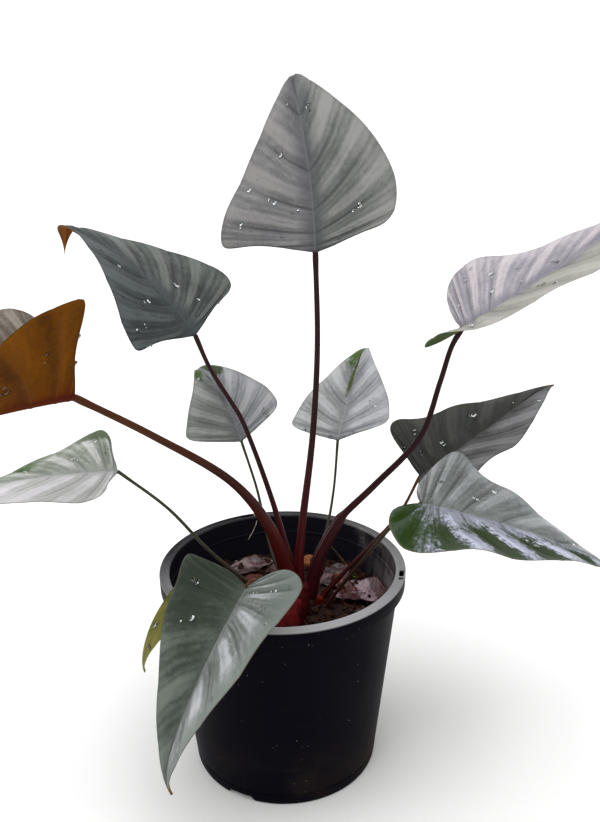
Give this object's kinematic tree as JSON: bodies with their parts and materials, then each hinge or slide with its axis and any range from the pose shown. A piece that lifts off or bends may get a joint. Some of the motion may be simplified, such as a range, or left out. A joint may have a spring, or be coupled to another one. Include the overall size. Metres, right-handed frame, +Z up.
{
  "type": "potted homalomena",
  "caption": "Leafy house plant with heart-shaped silvery leaves on long maroon stalks, growing in a round black plastic nursery pot.",
  "frame": {"origin": "middle of the pot's flat base, on the surface that the pot stands on", "axes": "+Z up; +X along the widest spread of the leaves, to the right in the picture; +Y away from the picture's camera"},
  "size_m": [0.5948, 0.4161, 0.553],
  "materials": {
    "pot_plastic": "satin",
    "potting_mix": "matte",
    "stalk_red": "satin",
    "stalk_maroon": "satin",
    "stalk_olive": "satin",
    "dry_sheath": "matte",
    "leaf_silver": "satin",
    "leaf_green": "satin",
    "leaf_brown_below": "satin",
    "dried_leaf": "satin",
    "bark": "matte"
  },
  "bodies": {
    "root": {"pot": "pot_plastic", "soil": "potting_mix", "stem": "stalk_red", "side_shoot": "stalk_red", "papery_sheath": "dry_sheath", "stalk_a": "stalk_maroon", "stalk_b": "stalk_maroon", "stalk_c": "stalk_maroon", "stalk_d": "stalk_olive", "stalk_e": "stalk_maroon", "stalk_f": "stalk_maroon", "stalk_g": "stalk_olive", "stalk_h": "stalk_olive", "stalk_i": "stalk_olive", "stalk_j": "stalk_maroon", "stalk_k": "stalk_olive", "blade_a": "leaf_silver", "blade_b": "leaf_silver", "blade_c": "leaf_brown_below", "blade_d": "leaf_silver", "blade_e": "leaf_silver", "blade_f": "leaf_silver", "blade_g": "leaf_silver", "blade_h": "leaf_silver", "blade_i": "leaf_silver", "blade_j": "leaf_silver", "blade_k": "leaf_green", "dry_leaf_right": "dried_leaf", "dry_leaf_middle": "dried_leaf", "dry_leaf_left": "dried_leaf", "bark_left": "bark", "bark_back": "bark", "twig": "bark"}
  },
  "joints": []
}
